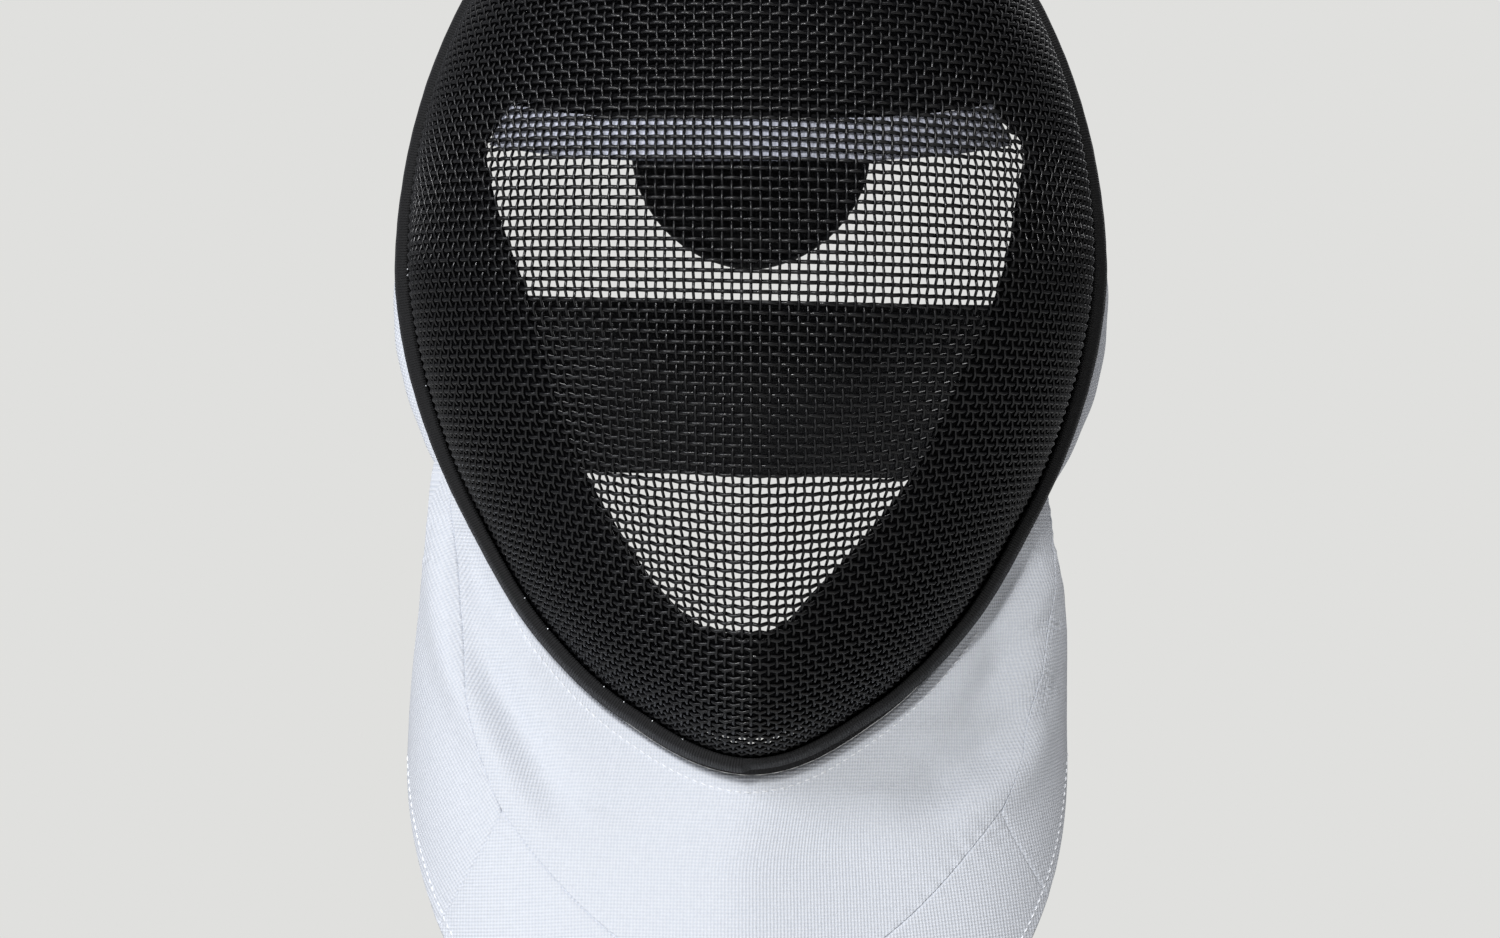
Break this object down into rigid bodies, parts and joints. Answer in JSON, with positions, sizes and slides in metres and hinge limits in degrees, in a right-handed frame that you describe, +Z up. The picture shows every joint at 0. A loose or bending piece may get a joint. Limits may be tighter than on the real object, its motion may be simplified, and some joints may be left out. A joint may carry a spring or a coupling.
{
  "type": "fencing mask",
  "caption": "Fencing mask: woven wire face, padded lining, piped edge, shield-shaped white bib, ear tabs, sprung tongue and wide elastic back strap.",
  "frame": {"origin": "the crown of the head seat, on the inside of the lining at the top of the mask", "axes": "+X to the wearer's left, +Y back through the head, +Z up; the wire face looks toward -Y"},
  "size_m": [0.245, 0.2008, 0.4443],
  "materials": {
    "cage_wire": "black enamelled woven steel wire",
    "piping": "smooth rolled black piping",
    "lining": "black napped cloth over padding",
    "brow_cloth": "pale blue-white woven tape",
    "bib_cloth": "white plain-woven ballistic cloth",
    "tape": "black woven tape",
    "strap_elastic": "ribbed black elastic"
  },
  "bodies": {
    "root": {"wire_cage": "cage_wire", "edge_binding": "piping", "lining_pad": "lining", "forehead_band": "brow_cloth", "bib_front_panel": "bib_cloth", "bib_left_panel": "bib_cloth", "bib_right_panel": "bib_cloth", "bib_apron": "bib_cloth", "bib_top_tape": "tape", "left_tab": "bib_cloth", "right_tab": "bib_cloth", "back_strap": "strap_elastic", "tongue": "lining"}
  },
  "joints": []
}
